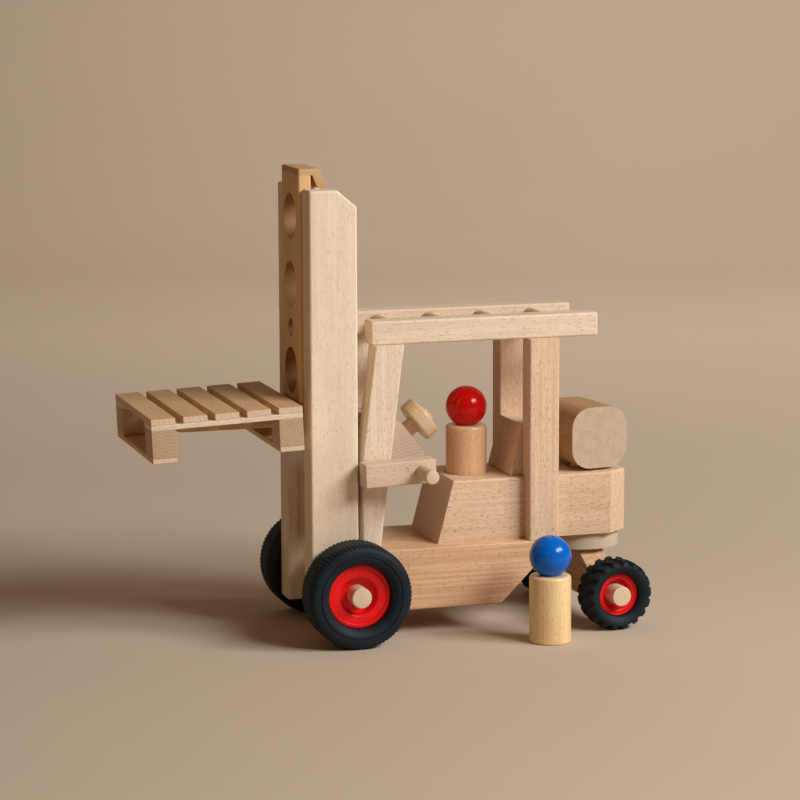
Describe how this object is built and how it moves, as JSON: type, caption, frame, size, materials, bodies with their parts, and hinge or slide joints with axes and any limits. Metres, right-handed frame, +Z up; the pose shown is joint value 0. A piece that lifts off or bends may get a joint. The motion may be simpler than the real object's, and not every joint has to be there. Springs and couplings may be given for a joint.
{
  "type": "toy forklift truck",
  "caption": "Wooden toy forklift with a crank-lifted fork carriage, pallet, steering rear axle, rubber-tyred wheels and peg figures.",
  "frame": {"origin": "bottom centre of the box round the whole set, on the floor", "axes": "+X towards the fork end, +Y towards the truck's left side, +Z up"},
  "size_m": [0.305, 0.1472, 0.2799],
  "materials": {
    "honey_wood": "smooth beech under a thin matt oil",
    "pale_wood": "smooth pale beech, bare",
    "pink_wood": "smooth pinkish beech, bare",
    "dowel_wood": "turned dowel, bare",
    "peg_wood": "turned peg, lightly lacquered",
    "red_paint": "glossy red",
    "blue_paint": "glossy blue lacquer",
    "rubber": "matt black, finely ribbed tread"
  },
  "bodies": {
    "chassis": {"base_beam": "honey_wood", "mast_dowels": "dowel_wood", "frame_dowels": "dowel_wood", "mast_upright_left": "pale_wood", "mast_upright_right": "pale_wood", "roller_pin": "dowel_wood", "front_pillar_left": "honey_wood", "front_pillar_right": "honey_wood", "rear_post_left": "honey_wood", "rear_post_right": "honey_wood", "roof_rail_left": "honey_wood", "roof_rail_right": "honey_wood", "roof_rungs": "honey_wood", "console": "pink_wood", "seat_block": "honey_wood", "seat_back": "honey_wood"},
    "carriage": {"carriage_board": "pale_wood", "carriage_hook": "pale_wood", "guide_strip_left": "pale_wood", "guide_strip_right": "pale_wood", "crossbar": "pale_wood", "fork_block": "pale_wood", "fork_left": "pale_wood", "fork_right": "pale_wood", "fork_dowels": "dowel_wood"},
    "crank": {"crank_shaft": "dowel_wood", "crank_drum": "dowel_wood", "crank_arm": "pink_wood", "crank_peg": "dowel_wood"},
    "roller": {"top_roller": "dowel_wood"},
    "front_wheels": {"front_axle": "dowel_wood", "front_rim_left": "red_paint", "front_rim_right": "red_paint", "front_tyre_left": "rubber", "front_tyre_right": "rubber"},
    "rear_steering": {"turntable_disc": "honey_wood", "rear_axle_block": "honey_wood", "steering_spindle": "dowel_wood", "tank": "pink_wood"},
    "rear_wheels": {"rear_axle": "dowel_wood", "rear_rim_left": "red_paint", "rear_rim_right": "red_paint", "rear_tyre_left": "rubber", "rear_tyre_right": "rubber"},
    "steering": {"steering_column": "dowel_wood", "steering_wheel": "dowel_wood"},
    "pallet": {"pallet_slats": "pale_wood", "pallet_stringers": "pale_wood", "pallet_blocks": "pink_wood", "pallet_bottom_boards": "pale_wood"},
    "driver": {"driver_body": "peg_wood", "driver_head": "red_paint"},
    "worker": {"worker_body": "peg_wood", "worker_head": "blue_paint"}
  },
  "joints": [
    {"name": "fork_lift", "type": "slide", "parent": "chassis", "child": "carriage", "axis": [0, 0, 1], "range_m": [-0.113, 0.055]},
    {"name": "crank_turn", "type": "hinge", "parent": "chassis", "child": "crank", "pos_m": [0.01445, -0.01082, 0.1015], "axis": [0, 1, 0], "range_deg": [-771.36, 375.75]},
    {"name": "roller_turn", "type": "hinge", "parent": "chassis", "child": "roller", "pos_m": [0.02995, -0.01082, 0.248], "axis": [0, 1, 0], "range_deg": [-534.71, 1097.96]},
    {"name": "front_wheels_turn", "type": "hinge", "parent": "chassis", "child": "front_wheels", "pos_m": [0.03065, -0.01082, 0.0313], "axis": [0, 1, 0], "continuous": true},
    {"name": "rear_steer", "type": "hinge", "parent": "chassis", "child": "rear_steering", "pos_m": [-0.12705, -0.01082, 0.0479], "axis": [0, 0, 1], "range_deg": [-26, 18]},
    {"name": "rear_wheels_turn", "type": "hinge", "parent": "rear_steering", "child": "rear_wheels", "pos_m": [-0.12705, -0.01082, 0.0214], "axis": [-0.0698, 0.9976, 0], "continuous": true},
    {"name": "steering_wheel_turn", "type": "hinge", "parent": "chassis", "child": "steering", "pos_m": [-0.01345, -0.01082, 0.1174], "axis": [-0.788, 0, 0.6157], "continuous": true},
    {"name": "pallet_slide", "type": "slide", "parent": "carriage", "child": "pallet", "axis": [0.9992, 0, -0.0401], "range_m": [0, 0.1]},
    {"name": "driver_lift", "type": "slide", "parent": "chassis", "child": "driver", "axis": [0, 0, 1], "range_m": [0, 0.028]},
    {"name": "worker_lift", "type": "slide", "parent": "chassis", "child": "worker", "axis": [0, 0, 1], "range_m": [0, 0.05]}
  ],
  "couplings": [
    {"joint": "crank_turn", "follows": "fork_lift", "rad_per_m": 119.05},
    {"joint": "roller_turn", "follows": "fork_lift", "rad_per_m": -169.49}
  ]
}
